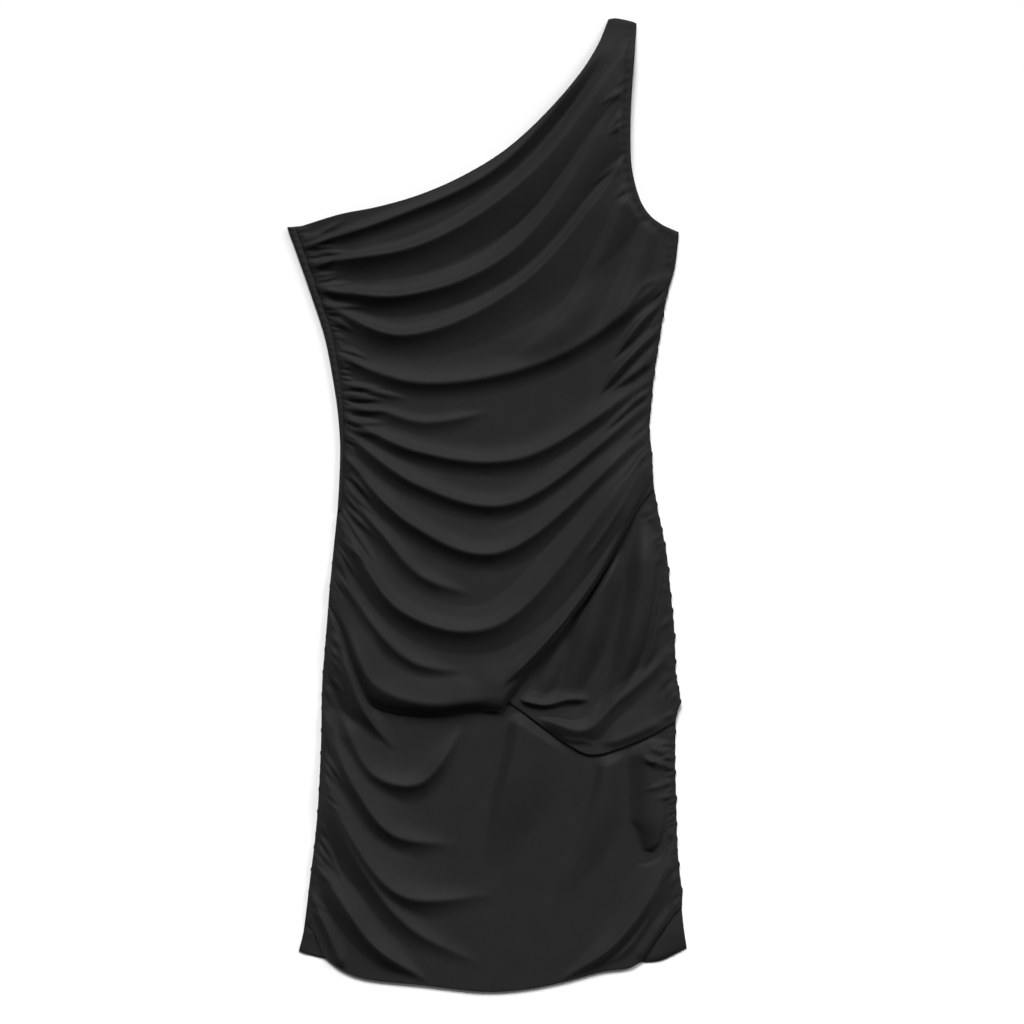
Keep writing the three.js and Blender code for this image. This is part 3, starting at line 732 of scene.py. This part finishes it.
def crepe_material():
    """Matte black stretch crepe: a fine pebbled grain, faint cloudy wear and a little sheen."""
    material = new_material("crepe", {"Roughness": 0.72, "Specular IOR Level": 0.12, "Sheen Weight": 0.03,
                                      "Sheen Roughness": 0.45})
    shader = material.node_tree.nodes["Principled BSDF"]
    place = add_node(material, "ShaderNodeTexCoord", {})
    cloud = add_node(material, "ShaderNodeTexNoise", {"Scale": 55, "Detail": 3})
    tint = add_node(material, "ShaderNodeValToRGB", {})
    dark, light = tint.color_ramp.elements
    dark.position = 0.3
    dark.color = (0.0104, 0.0104, 0.0109, 1)
    light.position = 0.7
    light.color = (0.0118, 0.0118, 0.0123, 1)
    grain = add_node(material, "ShaderNodeTexVoronoi", {"Scale": 1900})
    pebble = add_node(material, "ShaderNodeTexNoise", {"Scale": 700, "Detail": 2})
    both = add_node(material, "ShaderNodeMath", {1: 0.5})
    both.operation = "MULTIPLY_ADD"
    bump = add_node(material, "ShaderNodeBump", {"Strength": 0.35, "Distance": 0.00025})
    for texture in (cloud, grain, pebble):
        connect(material, place, "Object", texture, "Vector")
    connect(material, cloud, "Fac", tint, "Fac")
    connect(material, tint, "Color", shader, "Base Color")
    connect(material, grain, "Distance", both, 0)
    connect(material, pebble, "Fac", both, 2)
    connect(material, both, "Value", bump, "Height")
    connect(material, bump, "Normal", shader, "Normal")
    return material


def floor_material():
    """A plain pale surface."""
    pale = (0.82, 0.82, 0.82, 1)
    return new_material("pale_floor", {"Base Color": pale, "Roughness": 0.9, "Specular IOR Level": 0.0})


crepe = crepe_material()
thread = thread_material()


# Pieces

def back():
    """The back panel: flat below, and seen only at the corners of the hem."""
    left = boundary((BAND_OUTER, BACK_BAND_ROWS), (SKIRT_LEFT, BACK_SIDE_ROWS),
                    (BACK_LEFT_CORNER, BACK_CORNER_ROWS))
    right_curves = (STRAP_TOP, ARMHOLE[1:], RIGHT_UPPER_SIDE, HIP_SIDE[1:], SKIRT_RIGHT[1:],
                    BACK_RIGHT_CORNER)
    right = cut_evenly(np.vstack([curve_through(corners) for corners in right_curves]), len(left) - 1)
    top = boundary((NECKLINE, BACK_COLUMNS))
    top[0] = left[0]
    bottom = boundary((BACK_HEM, BACK_COLUMNS))
    xy = panel_grid(top, bottom, left, right)
    relief = blended(BACK_FOLDS, xy.reshape(-1, 2)).reshape(xy.shape[:2])
    piece = shell_mesh("back_cloth", np.dstack([xy, BACK_THICK / 2 + relief]), BACK_THICK)
    settle(piece, "back")


def side_band():
    """The narrow band down the upper left side: a puffed strip with puckers."""
    outer = boundary((BAND_OUTER, BAND_ROWS))
    seam = boundary((BAND_SEAM, BAND_ROWS)) - (SEAM_GAP, 0)
    u = np.linspace(0, 1, BAND_CELLS + 1)
    top = outer[0] + u[:, None] * (seam[0] - outer[0])
    bottom = outer[-1] + u[:, None] * (seam[-1] - outer[-1])
    xy = panel_grid(top, bottom, outer, seam)
    place = BAND_LENGTH * np.linspace(0, 1, BAND_ROWS + 1)[:, None]
    sway = BAND_SWAY * np.sin(place / BAND_SWAY_LENGTH)
    pucker = BAND_PUCKER * np.sin(2 * math.pi * place / BAND_PUCKER_PITCH + sway)
    puff = BAND_PUFF * np.sin(math.pi * u) ** BAND_FLATNESS
    relief = puff + pucker * np.sin(math.pi * u ** BAND_PUCKER_LEAN)
    piece = shell_mesh("side_band_cloth", np.dstack([xy, FIRST_LAYER + relief]))
    settle(piece, "side_band")


def seam_thread(cloth):
    """The stitches round the armhole and beside the band, which stop a little short of the seams' ends."""
    armhole = cut_evenly(curve_through(ARMHOLE), STITCH_LINE_STEPS)
    inside = armhole + right_of(armhole) * TURNED_WIDTH
    thread_row("armhole_thread", inside[4:-2], cloth)
    seam = cut_evenly(curve_through(BAND_SEAM), STITCH_LINE_STEPS)
    thread_row("band_thread", seam[1:-1] + (BAND_STITCH_INSET, 0), cloth)


def front_drape_boundaries():
    """The neckline, the free edge, the left seams, and the strap's top with the armhole and right seam."""
    band_rows, left_rows = DRAPE_LEFT_ROWS
    strap_rows, armhole_rows, right_rows = DRAPE_RIGHT_ROWS
    top = boundary((NECKLINE, DRAPE_COLUMNS))
    bottom = boundary((DRAPE_EDGE_LEFT, DRAPE_COLUMNS // 2), (DRAPE_EDGE_RIGHT, DRAPE_COLUMNS // 2))
    left_side = scalloped(boundary((LEFT_MIDDLE_SIDE, left_rows)), way=-1, start=0.1, end=0.9)
    right_side = scalloped(boundary((RIGHT_UPPER_SIDE, right_rows)), way=-1, start=0.2, end=0.97)
    left = np.vstack([boundary((BAND_SEAM, band_rows)), left_side[1:]])
    right = np.vstack([boundary((STRAP_TOP, strap_rows), (ARMHOLE, armhole_rows)), right_side[1:]])
    return top, bottom, left, right


def front_drape_relief(flat, left, right):
    """The front drape's height above the layers that it lies on."""
    armhole_row = DRAPE_RIGHT_ROWS[0]
    side_row = armhole_row + DRAPE_RIGHT_ROWS[1]
    gathers = (gather_folds(left, LEFT_GATHERS)
               + gather_folds(right[armhole_row:side_row], ARMHOLE_GATHERS)
               + gather_folds(right[side_row + UNGATHERED_DRAPE_ROWS:], RIGHT_GATHERS))
    folds = fold_field(flat, DRAPE_FOLDS, gathers, DRAPE_SWELLS, DRAPE_HOLLOWS)
    underarm = curve_through(RIGHT_UPPER_SIDE[:2], UNDERARM_STEPS)
    shown, turned = turned_edge(np.vstack([curve_through(ARMHOLE, SEAM_STEPS), underarm]), flat)
    off_left = off_seams(flat, BAND_SEAM, LEFT_MIDDLE_SIDE)
    off_right = off_seams(flat, RIGHT_UPPER_SIDE, STRAP_TOP)
    rise = SEAM_RISE * smooth(off_left / LEFT_RISE_REACH) * smooth(off_right / RIGHT_RISE_REACH)
    return rise + turned + laid_down(shown * folds, np.minimum(off_left, off_right))


def front_drape():
    """The gathered drape, whose free lower edge rolls under, with the stitches at its seams."""
    top, bottom, left, right = front_drape_boundaries()
    xy = panel_grid(top, bottom, left, right)
    flat = xy.reshape(-1, 2)
    z = FIRST_LAYER + over_skirt(*flat.T) + over_hip(*flat.T) + front_drape_relief(flat, left, right)
    z = np.maximum(z, FIRST_LAYER - SEAM_SINK).reshape(xy.shape[:2])
    seam_thread(np.dstack([xy, z]))
    roll = edge_roll(DRAPE_COLUMNS, extra=0.3, start=0.1, end=0.5)
    level = FIRST_LAYER + over_skirt(*bottom.T) + over_hip(*bottom.T) + 2 * roll - EDGE_SINK
    piece = shell_mesh("front_drape_cloth", rolled_under(xy, z, level, roll, DRAPE_DEPTH))
    settle(piece, "front_drape")


def hip_drape():
    """The lower right drape, whose free edge rolls under into a pocket."""
    top = boundary((HIP_TUCK, HIP_COLUMNS))
    bottom = boundary((HIP_EDGE, HIP_COLUMNS))
    left = boundary((HIP_END, HIP_ROWS))
    right = boundary((HIP_SIDE, HIP_ROWS))
    right = scalloped(right, way=-1, start=0.08, end=0.97, pitch=WIDE_SCALLOP_PITCH, depth=1.5)
    xy = panel_grid(top, bottom, left, right)
    flat = xy.reshape(-1, 2)
    x, y = flat.T
    shown = smooth((drape_edge(x) - y - CALM) / CALM_RAMP)
    gathers = gather_folds(right[COVERED_HIP_ROWS:], HIP_GATHERS)
    folds = fold_field(flat, HIP_FOLDS, gathers, HIP_SWELLS, HIP_HOLLOWS)
    z = FIRST_LAYER + over_skirt(x, y) + laid_down(shown * folds, off_seams(flat, HIP_SIDE))
    roll = edge_roll(HIP_COLUMNS, extra=0.4, start=0.05, end=0.98)
    level = FIRST_LAYER + over_skirt(*bottom.T) + 2 * roll - EDGE_SINK
    points = rolled_under(xy, z.reshape(xy.shape[:2]), level, roll, HIP_DEPTH)
    piece = shell_mesh("hip_drape_cloth", points)
    settle(piece, "hip_drape")


def skirt_front():
    """The lower front, from under the two drapes to the hem."""
    top = boundary((SKIRT_TUCK, SKIRT_COLUMNS))
    bottom = boundary((FRONT_HEM, SKIRT_COLUMNS))
    left = boundary((SKIRT_LEFT, SKIRT_SIDE_ROWS), (SKIRT_LEFT_CORNER, SKIRT_CORNER_ROWS))
    right = boundary((SKIRT_RIGHT, SKIRT_SIDE_ROWS), (SKIRT_RIGHT_CORNER, SKIRT_CORNER_ROWS))
    left = scalloped(left, way=1, start=0.06, end=0.85)
    right = scalloped(right, way=-1, start=0.06, end=0.78, pitch=WIDE_SCALLOP_PITCH, depth=1.2)
    xy = panel_grid(top, bottom, left, right)
    flat = xy.reshape(-1, 2)
    x, y = flat.T
    shown = smooth((cover_edge(x) - y - CALM) / CALM_RAMP)
    gathers = (gather_folds(left[:-SKIRT_CORNER_ROWS], SKIRT_LEFT_GATHERS)
               + gather_folds(right[:-SKIRT_CORNER_ROWS], SKIRT_RIGHT_GATHERS))
    folds = fold_field(flat, SKIRT_FOLDS, gathers, SKIRT_SWELLS, SKIRT_HOLLOWS)
    z = FIRST_LAYER + laid_down(shown * folds, off_seams(flat, SKIRT_LEFT, SKIRT_RIGHT))
    piece = shell_mesh("skirt_front_cloth", np.dstack([xy, z.reshape(xy.shape[:2])]))
    settle(piece, "skirt_front")


# Stage

def floor():
    """The pale surface that the dress lies on."""
    bpy.ops.mesh.primitive_plane_add(size=26, location=(0, 0, -0.0002))
    plane = bpy.context.object
    plane.name = "floor"
    plane.data.materials.append(floor_material())


def sun(name, energy, spread, tilt, turn):
    """A far light, in degrees: tilted from straight above, and turned left from the top of the frame."""
    light = bpy.data.lights.new(name, "SUN")
    light.energy = energy
    light.angle = math.radians(spread)
    lamp = bpy.data.objects.new(name, light)
    lamp.rotation_euler = (math.radians(tilt), 0, math.radians(180 + turn))
    bpy.context.scene.collection.objects.link(lamp)


def lights():
    """A broad key from the top of the frame, a weaker one from the upper right, and a little fill."""
    sun("key", energy=4.75, spread=25, tilt=53, turn=6)
    sun("side", energy=1.7, spread=20, tilt=62, turn=-52)
    low = bpy.data.lights.new("low", "AREA")
    low.energy = 0.36
    low.size = 0.6
    lamp = bpy.data.objects.new("low", low)
    lamp.location = (0, -0.36, 0.5)
    bpy.context.scene.collection.objects.link(lamp)
    world = bpy.data.worlds.new("studio")
    world.use_nodes = True
    set_inputs(world.node_tree.nodes["Background"], {"Color": (1, 1, 1, 1), "Strength": 0.05})
    bpy.context.scene.world = world


def camera():
    """Straight above, framed as in the photograph."""
    lens, sensor = 100.0, 36.0
    frame_width, centre, level = 965.2, (23.6, -6.6), 5.0
    eye = bpy.data.cameras.new("camera")
    eye.lens = lens
    eye.sensor_width = sensor
    eye.clip_end = 30
    stand = bpy.data.objects.new("camera", eye)
    height = frame_width * lens / sensor + level
    stand.location = (centre[0] * MM, centre[1] * MM, height * MM)
    bpy.context.scene.collection.objects.link(stand)
    bpy.context.scene.camera = stand


floor()
lights()
camera()
back()
side_band()
skirt_front()
hip_drape()
front_drape()
bpy.context.scene.view_settings.view_transform = "Standard"
